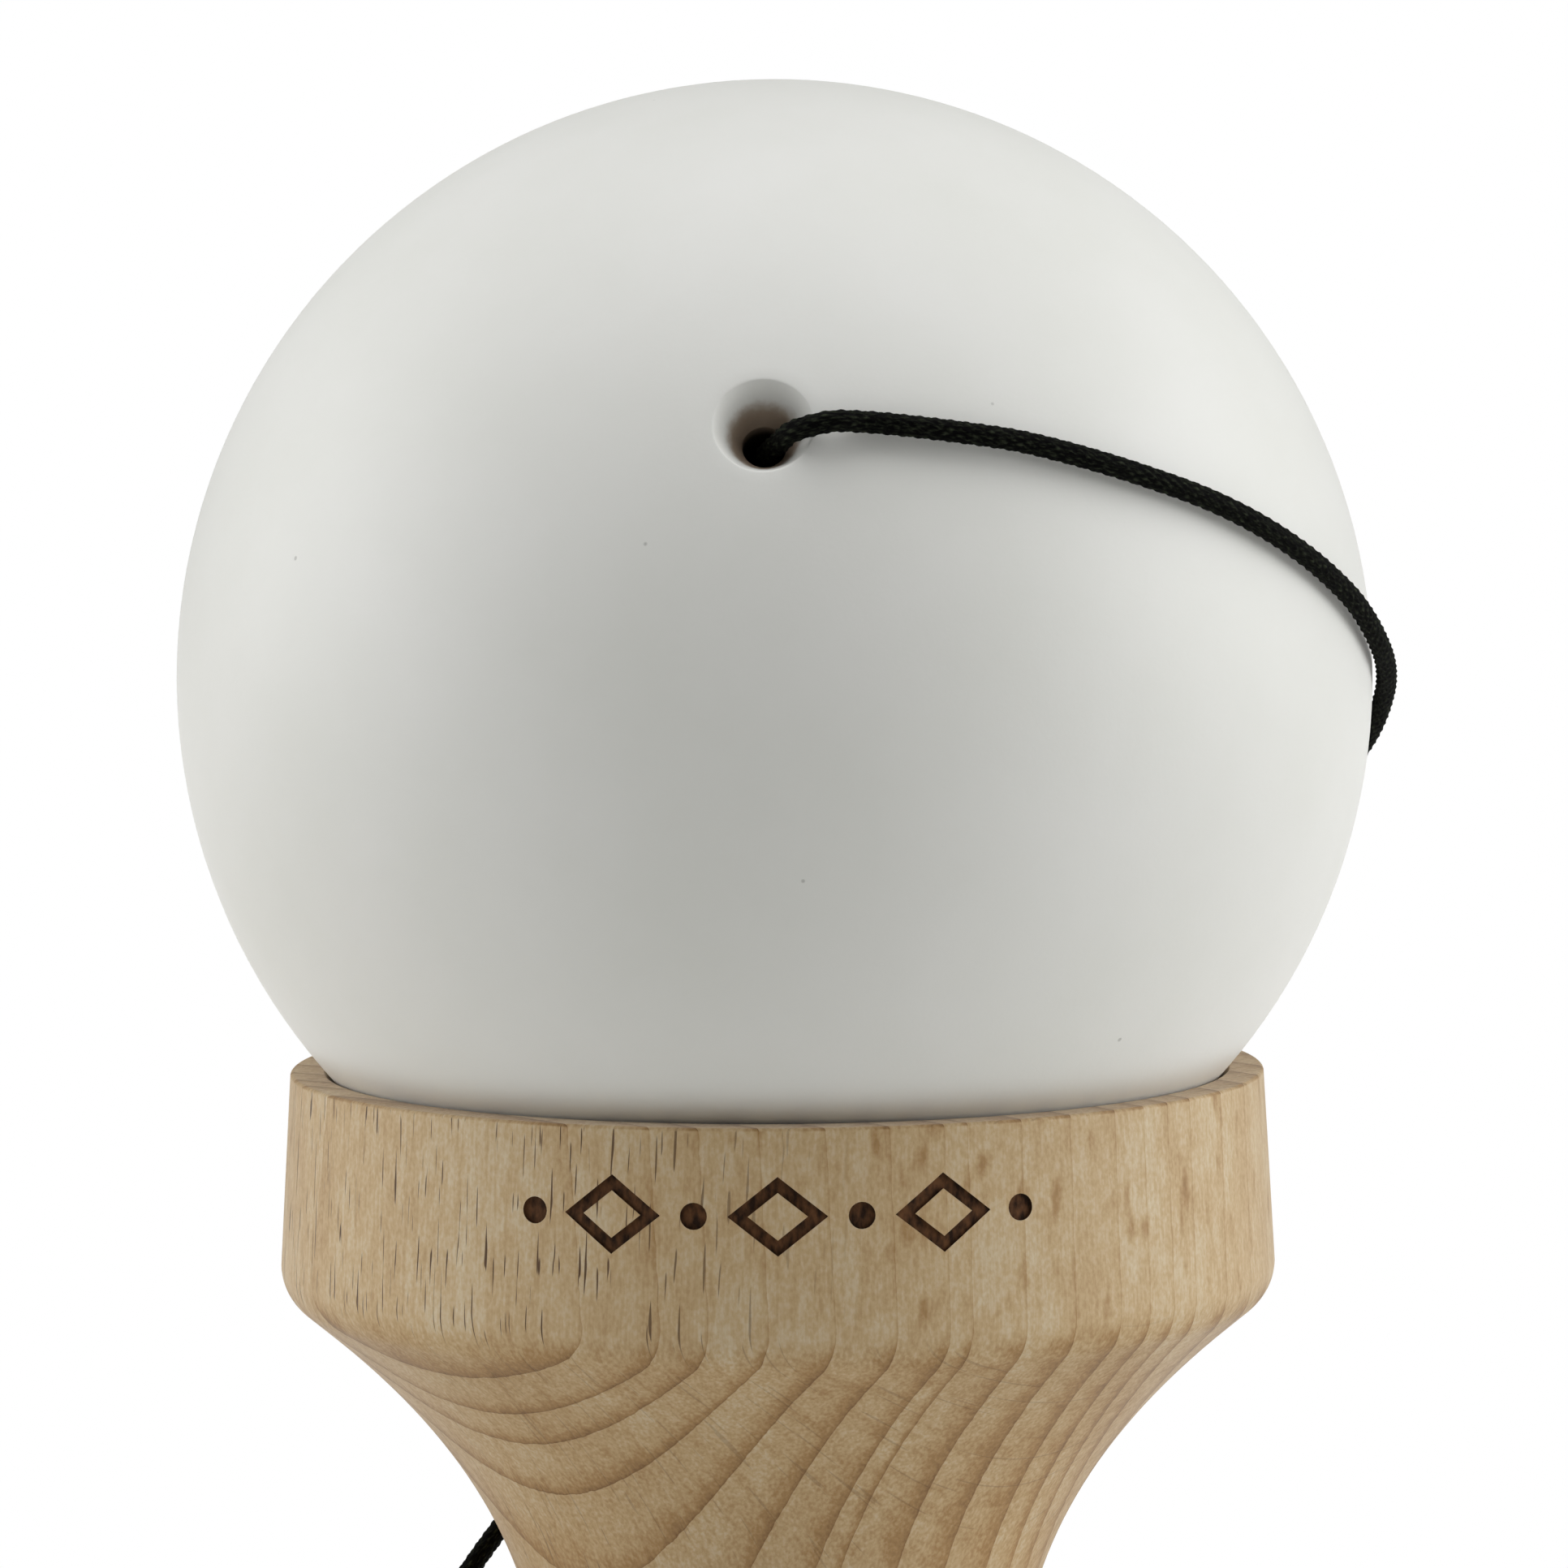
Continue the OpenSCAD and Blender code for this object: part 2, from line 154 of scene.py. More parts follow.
def braided_tube(name, line):
    """A flat grid rolled round a line, with the crossing strands of a braid raised on it.

    The attribute crown is 1 on top of a strand and 0 between the strands. The UV map has millimetres along
    the line and turns round it.
    """
    sides = 32
    strand_pairs = 4
    strand_lay = 0.75
    strand_height = 0.085
    ways = np.gradient(line, axis=0)
    ways /= np.linalg.norm(ways, axis=1)[:, None]
    side = np.cross(ways[0], (0.3, 0.2, 0.9))
    sideways = []
    for way in ways:
        side = side - way * (side @ way)
        side = side / np.linalg.norm(side)
        sideways.append(side)
    sideways = np.array(sideways)
    upways = np.cross(ways, sideways)
    steps = len(line) - 1
    gap = np.linalg.norm(line[1] - line[0])
    bm = bmesh.new()
    uv = bm.loops.layers.uv.new("along_around")
    crown = bm.verts.layers.float.new("crown")
    bmesh.ops.create_grid(bm, x_segments=steps, y_segments=sides, size=0.5, calc_uvs=True)
    for face in bm.faces:
        for loop in face.loops:
            loop[uv].uv = ((loop.vert.co.x + 0.5) * steps * gap, loop.vert.co.y + 0.5)
    for vert in bm.verts:
        i = round((vert.co.x + 0.5) * steps)
        turn = (vert.co.y + 0.5) * tau
        lay = pi * i * gap / strand_lay
        rise = abs(cos(strand_pairs * turn + lay) * cos(strand_pairs * turn - lay))
        vert[crown] = rise
        r = string_r - strand_height * (1 - rise)
        vert.co = MM * (line[i] + r * (cos(turn) * sideways[i] + sin(turn) * upways[i]))
    bmesh.ops.remove_doubles(bm, verts=bm.verts, dist=1e-7)
    open_ends = [edge for edge in bm.edges if edge.is_boundary]
    bmesh.ops.holes_fill(bm, edges=open_ends, sides=sides)
    bmesh.ops.recalc_face_normals(bm, faces=bm.faces)
    piece = piece_from(name, bm)
    piece.data.shade_smooth()
    return piece


def linear(hex_colour):
    """The linear RGBA of an sRGB hex colour."""
    parts = [int(hex_colour[i:i + 2], 16) / 255 for i in (1, 3, 5)]
    return [c / 12.92 if c <= 0.04045 else ((c + 0.055) / 1.055) ** 2.4 for c in parts] + [1]


def add_node(material, kind, sockets=None, **settings):
    """Adds a node with its settings.

    A socket's value is a number, a colour, another node's output, or a node, which stands for its
    first output.
    """
    tree = material.node_tree
    made = tree.nodes.new("ShaderNode" + kind)
    for name, value in settings.items():
        setattr(made, name, value)
    for name, value in (sockets or {}).items():
        if isinstance(value, bpy.types.Node):
            value = value.outputs[0]
        if isinstance(value, bpy.types.NodeSocket):
            tree.links.new(value, made.inputs[name])
        else:
            made.inputs[name].default_value = value
    return made


def new_material(name):
    material = bpy.data.materials.new(name)
    material.use_nodes = True
    material.node_tree.nodes.clear()
    return material


# Dyed nylon, braided: near black and dull, with a painted olive highlight on the strands' crowns, broken up
# along the fibres. Single fibres are too fine to show, so they are
# drawn about 0.15 mm wide.
fibre_len = 0.45
fibres_round = 22
black_nylon = new_material("braided_black_nylon")
place = add_node(black_nylon, "UVMap", uv_map="along_around")
laid = add_node(black_nylon, "Mapping", {"Vector": place, "Scale": (1 / fibre_len, fibres_round, 1)})
fibres = add_node(black_nylon, "TexNoise", {"Vector": laid, "Scale": 1, "Detail": 2})
highlight_fibres = add_node(black_nylon, "MapRange", {"Value": fibres, "From Min": 0.45, "From Max": 0.75})
strands = add_node(black_nylon, "Attribute", attribute_name="crown")
# Painted highlight: a strand's crown turns olive where the fibre noise is high
lit = add_node(black_nylon, "Math", {0: strands.outputs["Fac"], 1: highlight_fibres}, operation="MULTIPLY")
dye_and_painted_highlight = add_node(black_nylon, "Mix", {0: lit, 6: linear("#010101"), 7: linear("#3d4333")}, data_type="RGBA")
shader = add_node(black_nylon, "BsdfPrincipled", {
    "Base Color": dye_and_painted_highlight.outputs[2], "Roughness": 0.75, "Specular IOR Level": 0.06})
add_node(black_nylon, "OutputMaterial", {"Surface": shader})

string_line = smooth_line(route, string_step)
string = braided_tube("string", string_line)
string.data.materials.append(black_nylon)
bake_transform(string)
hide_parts("string_ball_end", "string_free", "string_ken_end")


# Knots: each end of the string is tied in an overhand knot and drawn tight.
# One knot stops the string under the bead, the other in the recess of the handle's seat.
def overhand_knot(name, place):
    """An overhand knot below the origin, tied in a string that comes down Z, put in place."""
    loop_r = 0.43
    loop_rise = 0.58
    loop_z = -1.7
    loop_gap = 0.35
    turns = np.linspace(pi + loop_gap, 3 * pi - loop_gap, 40)
    loops = np.stack([loop_r * (np.sin(turns) + 2 * np.sin(2 * turns)),
                      loop_r * (np.cos(turns) - 2 * np.cos(2 * turns)),
                      loop_z - loop_rise * np.sin(3 * turns)], 1)
    way_in = [(0, 0, 0), (0.1, -0.3, -0.5)]
    tail = (-0.6, -0.8, -2.75)
    line = smooth_line([*way_in, *loops, tail], string_step)
    knot = braided_tube(name, np.array([place @ Vector(point) for point in line]))
    knot.data.materials.append(black_nylon)
    return knot


bead_knot = overhand_knot("knot_under_bead", ball_place @ Matrix.Translation((0, 0, bead_knot_z)))
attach(bead_knot, "string_bead")
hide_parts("bead_knot")
handle_knot_place = Matrix.Translation((0, handle_knot_y, handle_height)) @ Matrix.Rotation(-pi / 2, 4, "X")
handle_knot = overhand_knot("knot_in_handle", handle_knot_place)
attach(handle_knot, "ken_and_sarado")
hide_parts("ken_knot")


# Handle: spike, seat, grip and base cup turned from one length of beech, sanded and left bare.
# It is pushed through the crosspiece from the grip's side and held there by friction.
def turned(name, outline, place, closed=False):
    """A solid of revolution about Z from an outline of (radius, height), put in place."""
    bm = bmesh.new()
    rim = [bm.verts.new((r, 0, h)) for r, h in outline]
    lines = [bm.edges.new(pair) for pair in zip(rim, rim[1:] + rim[:1] if closed else rim[1:])]
    bmesh.ops.spin(bm, geom=rim + lines, cent=(0, 0, 0), axis=(0, 0, 1), angle=tau, steps=180, use_merge=True)
    bmesh.ops.remove_doubles(bm, verts=bm.verts, dist=1e-4)
    bmesh.ops.recalc_face_normals(bm, faces=bm.faces)
    bm.transform(Matrix.Scale(MM, 4) @ place)
    return piece_from(name, bm)


def arc(centre, radius, start, stop, steps=10):
    angles = np.radians(np.linspace(start, stop, steps + 1))
    return [(centre[0] + radius * cos(a), centre[1] + radius * sin(a)) for a in angles]


neck_power = 2.5


def cup_outside(thin_r, shoulder_r, shoulder_h, rim_r, rim_h):
    """Outline of a cup's neck, shoulder and band, from above the thinnest place to the rim."""
    shoulder_round = 2.7
    rim_round = 0.2
    slope = atan(neck_power * (shoulder_r - thin_r) / shoulder_h)
    start = shoulder_round * tan(slope / 2)
    heights = np.linspace(0, shoulder_h - start * cos(slope), 40)[1:-1]
    neck = [(thin_r + (shoulder_r - thin_r) * (h / shoulder_h) ** neck_power, h) for h in heights]
    shoulder = arc((shoulder_r - shoulder_round, shoulder_h + start), shoulder_round, -degrees(slope), 0)
    rim = arc((rim_r - rim_round, rim_h - rim_round), rim_round, 0, 90)
    return neck + shoulder + rim


def cup_inside(mouth_r, depth, rim_h):
    """Outline of a spherical hollow, from its rim to its bottom."""
    hollow_r = (mouth_r**2 + depth**2) / (2 * depth)
    half = degrees(asin(mouth_r / hollow_r))
    return arc((0, rim_h + hollow_r - depth), hollow_r, half - 90, -90, 24)[:-1] + [(0, rim_h - depth)]


def drill(place, start, stop, radius, end_radius=None):
    """A straight or tapered drill along Z from start to stop, put in place."""
    return turned("drill", [(0, start), (radius, start), (end_radius or radius, stop), (0, stop)], place)


def cut_out(piece, *tools):
    """Cuts drills and other tools out of a piece and puts them away."""
    for tool in tools:
        cut = piece.modifiers.new("cut", "BOOLEAN")
        cut.operation = "DIFFERENCE"
        cut.solver = "EXACT"
        cut.object = tool
    graph = bpy.context.evaluated_depsgraph_get()
    finished = bpy.data.meshes.new_from_object(piece.evaluated_get(graph))
    piece.modifiers.clear()
    piece.data = finished
    for tool in tools:
        bpy.data.objects.remove(tool)


def soften(piece, angle=32):
    """Smooth shading, with edges sharper than the angle kept crisp."""
    piece.data.shade_smooth()
    piece.data.set_sharp_from_angle(angle=radians(angle))


# Beech, turned, sanded and bare: a pale warm brown with a soft dull sheen. Where the cut runs across the
# grain it shows growth rings, pale and then darker up to a sharp edge. Where it runs along the grain it shows
# the wood's rays: thin dark ticks on the sides that face the tree's middle, and soft brown flecks between.
# The block's X points to the tree's middle, Y runs along the rings and Z up the grain.
def beech_facing(wood, place, turn):
    """How much of the rays' ends, their sides and the cut fibres a surface shows, by the way it faces."""
    facing = add_node(wood, "Mapping", {"Vector": place.outputs["Normal"], "Rotation": turn},
                      vector_type="VECTOR")
    parts = add_node(wood, "SeparateXYZ", {0: facing})
    shows = []
    for axis, low, high in (("X", 0.55, 0.97), ("Y", 0.35, 0.9), ("Z", 0.1, 0.6)):
        size = add_node(wood, "Math", {0: parts.outputs[axis]}, operation="ABSOLUTE")
        shows.append(add_node(wood, "MapRange", {"Value": size, "From Min": low, "From Max": high},
                              interpolation_type="SMOOTHSTEP"))
    return shows


def beech_rings(wood, block, cut_fibres):
    """The tone of the growth rings, which bend round the tree's middle and sway a little."""
    pith_far = 100
    sway_size = 0.8
    sway_span = (14, 14, 50)
    waver_size = 0.14
    waver_span = (0.6, 0.6, 1.2)
    ring_edges = [-26, -23.2, -20.6, -17.8, -15.3, -12.5, -9.8, -7, -5.2, -3.4, -1.4, 1.5, 4.3, 7.2, 8.3,
                  10.9, 13.7, 16.5, 18.8, 20.4, 22.6, 27]
    first, last = ring_edges[0], ring_edges[-1]
    years = len(ring_edges) - 1
    from_pith = add_node(wood, "Mapping", {
        "Vector": block, "Location": (-pith_far, 0, 0), "Scale": (1, 1, 0)})
    length = add_node(wood, "VectorMath", {0: from_pith}, operation="LENGTH")
    far = length.outputs["Value"]
    for swing, span, detail in ((sway_size, sway_span, 1), (waver_size, waver_span, 2)):
        laid = add_node(wood, "Mapping", {"Vector": block, "Scale": [1 / side for side in span]})
        noise = add_node(wood, "TexNoise", {"Vector": laid, "Scale": 1, "Detail": detail})
        far = add_node(wood, "Math", {0: noise, 1: swing, 2: far}, operation="MULTIPLY_ADD")
    inner, outer = (pith_far - edge + (sway_size + waver_size) / 2 for edge in (last, first))
    depth = add_node(wood, "MapRange", {"Value": far, "From Min": outer, "From Max": inner})
    year_curve = add_node(wood, "FloatCurve", {"Value": depth})
    points = year_curve.mapping.curves[0].points
    for year, edge in enumerate(ring_edges[1:-1], 1):
        points.new((edge - first) / (last - first), year / years)
    for point in points:
        point.handle_type = "VECTOR"
    year_curve.mapping.update()
    year = add_node(wood, "Math", {0: year_curve, 1: years}, operation="MULTIPLY")

    # A year's wood darkens towards its outer edge, by chance over a wide or a narrow stretch
    whole = add_node(wood, "Math", {0: year}, operation="FLOOR")
    chance = add_node(wood, "TexWhiteNoise", {"W": whole}, noise_dimensions="1D")
    early = add_node(wood, "Math", {0: year}, operation="FRACT")
    late = add_node(wood, "Math", {0: 1, 1: early}, operation="SUBTRACT")
    slender = add_node(wood, "MapRange", {
        "Value": depth, "From Min": 0.5, "From Max": 0.92, "To Min": 1.9, "To Max": 4.5})
    narrow = add_node(wood, "Math", {0: chance, 1: 1.4, 2: slender}, operation="MULTIPLY_ADD")
    late_wood = add_node(wood, "Math", {0: late, 1: narrow}, operation="POWER")
    ring_end = add_node(wood, "Math", {0: late, 1: 40}, operation="POWER")
    ring_weight = add_node(wood, "MapRange", {"Value": cut_fibres, "To Min": 0.07, "To Max": 0.47})
    ground = add_node(wood, "MapRange", {"Value": cut_fibres, "To Min": 0.01, "To Max": 0.05})
    edged = add_node(wood, "Math", {0: ring_end, 1: 0.18, 2: ground}, operation="MULTIPLY_ADD")
    return add_node(wood, "Math", {0: late_wood, 1: ring_weight, 2: edged}, operation="MULTIPLY_ADD")


def turned_beech(name, turn, shift):
    """Beech from a block that is turned and shifted to the piece. Its coordinates are in millimetres."""
    wood = new_material(name)
    place = add_node(wood, "TexCoord")
    block = add_node(wood, "Mapping", {
        "Vector": place.outputs["Object"], "Rotation": turn, "Location": shift, "Scale": [1 / MM] * 3})
    ray_ends, ray_sides, cut_fibres = beech_facing(wood, place, turn)
    tone = beech_rings(wood, block, cut_fibres)

    def pattern(size, detail, low, high, weight):
        """Noise of a size across the rings, along them and up the grain, with only its high part kept."""
        laid = add_node(wood, "Mapping", {"Vector": block, "Scale": [1 / side for side in size]})
        noise = add_node(wood, "TexNoise", {"Vector": laid, "Scale": 1, "Detail": detail})
        return add_node(wood, "MapRange", {
            "Value": noise, "From Min": low, "From Max": high, "To Max": weight},
            interpolation_type="SMOOTHSTEP")

    # Fibres and the grit of the sanding are finer than 0.05 mm, so they are drawn coarser to show
    ray_flecks = pattern((1.2, 1.0, 3.2), 1, 0.58, 0.85, 0.45)
    streaks = pattern((3.0, 0.5, 7.0), 1, 0.45, 0.75, 0.09)
    fibres = pattern((0.15, 0.15, 2.2), 3, 0.3, 0.7, 0.10)
    slow_change = pattern((5, 5, 12), 2, 0.3, 0.7, 0.12)
    mottle = pattern((0.8, 0.8, 1.6), 3, 0.3, 0.7, 0.12)
    grit = pattern((0.2, 0.2, 0.3), 2, 0.3, 0.7, 0.14)
    along_rays = add_node(wood, "Mix", {0: cut_fibres, 2: ray_sides, 3: 0}, data_type="FLOAT")
    open_pores = add_node(wood, "MapRange", {"Value": cut_fibres, "To Min": 1, "To Max": 1.45})
    for grown, where in ((ray_flecks, along_rays), (streaks, 1), (fibres, 1), (slow_change, 1), (mottle, 1),
                         (grit, open_pores)):
        tone = add_node(wood, "Math", {0: grown, 1: where, 2: tone}, operation="MULTIPLY_ADD")
    ramp = add_node(wood, "ValToRGB", {0: tone})
    stops = ramp.color_ramp.elements
    stops[0].color = linear("#d8caad")
    stops[1].color = linear("#82603a")
    for at, hex_colour in ((0.3, "#c5aa80"), (0.6, "#aa8758")):
        stops.new(at).color = linear(hex_colour)

    # Rays cut across: short dark ticks along the grain
    across_rays = add_node(wood, "Mix", {0: cut_fibres, 2: ray_ends, 3: 0.25}, data_type="FLOAT")
    ray_ticks = pattern((25, 0.15, 3.0), 0.5, 0.68, 0.72, 1)
    ticks = add_node(wood, "Math", {0: ray_ticks, 1: across_rays}, operation="MULTIPLY")
    colour = add_node(wood, "Mix", {0: ticks, 6: ramp, 7: linear("#563a20")}, data_type="RGBA")
    pits = add_node(wood, "Math", {0: grit, 1: ticks}, operation="ADD")
    grain = add_node(wood, "Bump", {"Height": pits, "Strength": 0.5, "Distance": 0.06 * MM}, invert=True)
    shader = add_node(wood, "BsdfPrincipled", {
        "Base Color": colour.outputs[2], "Roughness": 0.6, "Specular IOR Level": 0.4, "Sheen Weight": 0.25,
        "Sheen Roughness": 0.4, "Normal": grain})
    add_node(wood, "OutputMaterial", {"Surface": shader})
    return wood


big_shoulder_r = 25.1
big_shoulder_h = 24.6
handle_len = 90
spike_len = 76
base_mouth_r = 17.5
base_depth = 7.5
base_shoulder_r = 19.5
base_shoulder_h = 24
base_rim_r = 19
grip_waist_at = 30
grip_waist_r = 8
grip_r = 8.8
grip_round = 0.8
grip_gap = 0.2
seat_r = 7.8
seat_end_r = 7.5
tip_r = 3.5
tip_len = 3
string_bore_r = 1.3
knot_recess_r = 2.7
drill_past = 20
shoulder_x = waist_r + (big_shoulder_r - waist_r) * (grip_r / big_shoulder_h) ** neck_power + grip_gap
grip_waist_x = grip_waist_at - handle_len
grip_len = -shoulder_x - grip_round - grip_waist_x
handle_place = Matrix.Translation((0, 0, handle_height)) @ Matrix.Rotation(pi / 2, 4, "Y")
string_hole_place = Matrix.Translation((0, 0, handle_height)) @ Matrix.Rotation(pi / 2, 4, "X")

base_inside = [(r, -h - handle_len) for r, h in cup_inside(base_mouth_r, base_depth, 0)]
base_outside = [(r, grip_waist_x - h) for r, h in
                cup_outside(grip_waist_r, base_shoulder_r, base_shoulder_h, base_rim_r, grip_waist_at)]
grip = [(grip_waist_r + (grip_r - grip_waist_r) * s * s * (3 - 2 * s), grip_waist_x + grip_len * s)
        for s in np.linspace(0, 1, 24)]
tip = [(tip_r * cos(a), spike_len - tip_len + tip_len * sin(a)) for a in np.linspace(0, pi / 2, 13)[:-1]]
handle_outline = (
    base_inside[::-1] + base_outside[::-1] + grip
    + arc((grip_r - grip_round, -shoulder_x - grip_round), grip_round, 0, 90)
    + [(seat_r, -shoulder_x), (seat_end_r, shoulder_x)] + tip + [(0, spike_len)]
)
handle = turned("handle", handle_outline, handle_place)
string_drill = drill(string_hole_place, -drill_past, drill_past, string_bore_r)
knot_drill = drill(string_hole_place, -handle_knot_y, drill_past, knot_recess_r)
cut_out(handle, string_drill, knot_drill)
soften(handle)
handle.data.materials.append(turned_beech("turned_beech_handle", (0, -pi / 2, radians(35)), (33, 23, 60)))
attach(handle, "ken_and_sarado")
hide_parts("ken")

# Crosspiece: the big cup, the small cup and the waist between them, turned from one length of beech.
# The grain runs from rim to rim. A tapered bore across the waist takes the handle.
big_depth = 13.5
big_rim_r = 24.55
small_mouth_r = 19
small_depth = 9
small_shoulder_r = 21
small_shoulder_h = 25.5
small_rim_r = 20.5
bore_gap = 0.02
bore_past = 25
string_drill_far = 30
big_rim_h = crosspiece_len - handle_height
big_inside = cup_inside(big_mouth_r, big_depth, big_rim_h)
big_outside = cup_outside(waist_r, big_shoulder_r, big_shoulder_h, big_rim_r, big_rim_h)
small_outside = cup_outside(waist_r, small_shoulder_r, small_shoulder_h, small_rim_r, handle_height)
small_inside = cup_inside(small_mouth_r, small_depth, handle_height)
crosspiece_outline = (
    big_inside[::-1] + big_outside[::-1] + [(waist_r, 0)]
    + [(r, -h) for r, h in small_outside + small_inside]
)
crosspiece = turned("crosspiece", crosspiece_outline, Matrix.Translation((0, 0, handle_height)))
taper = (seat_end_r - seat_r) / (2 * shoulder_x)
bore_r, bore_end_r = (seat_r + bore_gap + taper * (shoulder_x + x) for x in (-bore_past, bore_past))
seat_drill = drill(handle_place, -bore_past, bore_past, bore_r, bore_end_r)
string_drill = drill(string_hole_place, -string_drill_far, 0, string_bore_r)

# A row of lozenges and dots is burnt into the front of the big cup's band, a little below its surface
row_z = 67
row_r = 24.6
row_lean = radians(3.3)
row_step = 4
lozenge_w = 4.8
lozenge_h = 3.8
lozenge_line = 0.6
dot_r = 0.65
iron_len = 2
iron = bmesh.new()
for place_in_row in range(-3, 4):
    if place_in_row % 2 == 0:
        made = bmesh.ops.create_circle(iron, cap_ends=True, radius=1, segments=4)["verts"]
        bmesh.ops.scale(iron, vec=(lozenge_w / 2, lozenge_h / 2, 1), verts=made)
        face = made[0].link_faces[0]
        outline = bmesh.ops.inset_region(iron, faces=[face], thickness=lozenge_line, use_boundary=True,
                                          use_even_offset=True)["faces"]
        bmesh.ops.delete(iron, geom=[face], context="FACES_ONLY")
    else:
        made = bmesh.ops.create_circle(iron, cap_ends=True, radius=dot_r, segments=24)["verts"]
        outline = made[0].link_faces
    pressed = bmesh.ops.extrude_face_region(iron, geom=list(outline), use_keep_orig=True)["geom"]
    top = [part for part in pressed if isinstance(part, bmesh.types.BMVert)]
    bmesh.ops.translate(iron, vec=(0, 0, iron_len), verts=top)
    mark = {vert for face in outline for vert in face.verts} | set(top)
    round_band = Matrix.Rotation(place_in_row * row_step / row_r, 4, "Z")
    on_band = Matrix.Translation((0, -row_r, row_z)) @ Matrix.Rotation(pi / 2 - row_lean, 4, "X")
    bmesh.ops.transform(iron, matrix=Matrix.Scale(MM, 4) @ round_band @ on_band, verts=list(mark))
bmesh.ops.recalc_face_normals(iron, faces=iron.faces)
for face in iron.faces:
    face.material_index = 1
burning_iron = piece_from("iron", iron)

# Beech charred by a hot iron: dark brown, paler where the iron pressed less, and dull
char_size = (0.35, 0.35, 0.7)
charred = new_material("charred_beech")
place = add_node(charred, "TexCoord")
laid = add_node(charred, "Mapping", {
    "Vector": place.outputs["Object"], "Scale": [1 / (side * MM) for side in char_size]})
char = add_node(charred, "TexNoise", {"Vector": laid, "Scale": 1, "Detail": 3})
charring_and_painted_hole_shade = add_node(charred, "MapRange", {"Value": char, "From Min": 0.35, "From Max": 0.7})
char_colour = add_node(charred, "Mix", {0: charring_and_painted_hole_shade, 6: linear("#2b1a0f"), 7: linear("#6a472c")},
                       data_type="RGBA")
shader = add_node(charred, "BsdfPrincipled", {
    "Base Color": char_colour.outputs[2], "Roughness": 0.85, "Specular IOR Level": 0.2})
add_node(charred, "OutputMaterial", {"Surface": shader})

crosspiece_beech = turned_beech("turned_beech_crosspiece", (0, 0, radians(134.5)), (0, 0, 0))
for cut_piece in (crosspiece, burning_iron):
    for material in (crosspiece_beech, charred):
        cut_piece.data.materials.append(material)
cut_out(crosspiece, seat_drill, string_drill, burning_iron)
soften(crosspiece)
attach(crosspiece, "ken_and_sarado")
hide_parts("sarado")

# Ball: turned wood, drilled from one side for the spike and from the other for the string.
# It is painted matte white, and the paint ends inside the countersunk mouth of the string hole.
spike_hole_r = 9.5
spike_hole_end = 8
drill_point = radians(59)
bevel_w = 2.5
string_hole_r = 1.05
mouth_r = 2.35
mouth_depth = 2.5
lip_round = 0.08
lip_sunk = 1.3 * lip_round
lip_end = 95
point_z = spike_hole_end + (spike_hole_r - string_hole_r) / tan(drill_point)
bevel_r = spike_hole_r + bevel_w
bevel_z = -sqrt(ball_r**2 - bevel_r**2)
mouth_top = sqrt(ball_r**2 - mouth_r**2)
mouth_wall = degrees(atan(mouth_depth / (mouth_r - string_hole_r)))
lip = arc((mouth_r + lip_round, mouth_top - lip_sunk), lip_round, 90 + mouth_wall, lip_end, 4)
mouth_angle = degrees(acos((mouth_r + 2 * lip_round) / ball_r))
bevel_angle = -degrees(acos(bevel_r / ball_r))
ball_outline = (
    [(spike_hole_r, bevel_z + bevel_w), (spike_hole_r, spike_hole_end), (string_hole_r, point_z),
     (string_hole_r, mouth_top - mouth_depth)]
    + lip + arc((0, 0), ball_r, mouth_angle, bevel_angle, 140)
)
ball = turned("ball", ball_outline, ball_place, closed=True)
soften(ball, 25)

# Matte white paint, sprayed: a cool off-white with faint clouds, a fine nap that keeps it dull, and a few
# specks of dust. Inside the string hole it ends in a ragged edge on bare wood, which is painted darker
# further in as shade deep in the hole. The nap is finer than this on the real ball, and is drawn 0.4 mm wide
# to show.
cloud_size = 9
dust_far = 5
dust_r = 0.08
dust_edge = 0.14
nap_size = 0.4
string_side_r = 5
ragged_by = 0.5
spike_paint = 1.6
matte_paint = new_material("matte_white_paint")
place = add_node(matte_paint, "TexCoord")
local = add_node(matte_paint, "Mapping", {
    "Vector": place.outputs["Object"], "Location": (0, 0, ball_z * MM),
    "Rotation": (pi / 2 - hole_tilt, 0, -hole_turn), "Scale": (MM, MM, MM)}, vector_type="TEXTURE")
clouds = add_node(matte_paint, "TexNoise", {"Vector": local, "Scale": 1 / cloud_size, "Detail": 4})
plain_paint = add_node(matte_paint, "Mix", {0: clouds, 6: linear("#e1e2dc"), 7: linear("#ebebe8")},
                       data_type="RGBA")
grains = add_node(matte_paint, "TexVoronoi", {"Vector": local, "Scale": 1 / dust_far})
dust = add_node(matte_paint, "MapRange", {
    "Value": grains.outputs["Distance"], "From Min": dust_r / dust_far, "From Max": dust_edge / dust_far,
    "To Min": 0.5, "To Max": 0})
paint = add_node(matte_paint, "Mix", {0: dust, 6: plain_paint.outputs[2], 7: linear("#8a8a84")},
                 data_type="RGBA")
nap = add_node(matte_paint, "TexNoise", {"Vector": local, "Scale": 1 / nap_size, "Detail": 3})
flat = add_node(matte_paint, "Mapping", {"Vector": local, "Scale": (1, 1, 0)})
off_axis = add_node(matte_paint, "VectorMath", {0: flat}, operation="LENGTH")
far = add_node(matte_paint, "VectorMath", {0: local}, operation="LENGTH")
spike_hole = add_node(matte_paint, "Math", {0: off_axis.outputs["Value"], 1: string_side_r},
                      operation="GREATER_THAN")
sunk = add_node(matte_paint, "Math", {0: ball_r, 1: far.outputs["Value"]}, operation="SUBTRACT")
ragged = add_node(matte_paint, "Math", {0: nap, 1: ragged_by, 2: sunk}, operation="MULTIPLY_ADD")
bare_at = add_node(matte_paint, "Math", {0: spike_hole, 1: -spike_paint, 2: ragged}, operation="MULTIPLY_ADD")
bare = add_node(matte_paint, "MapRange", {"Value": bare_at, "From Min": 1.2, "From Max": 2.1},
                interpolation_type="SMOOTHSTEP")
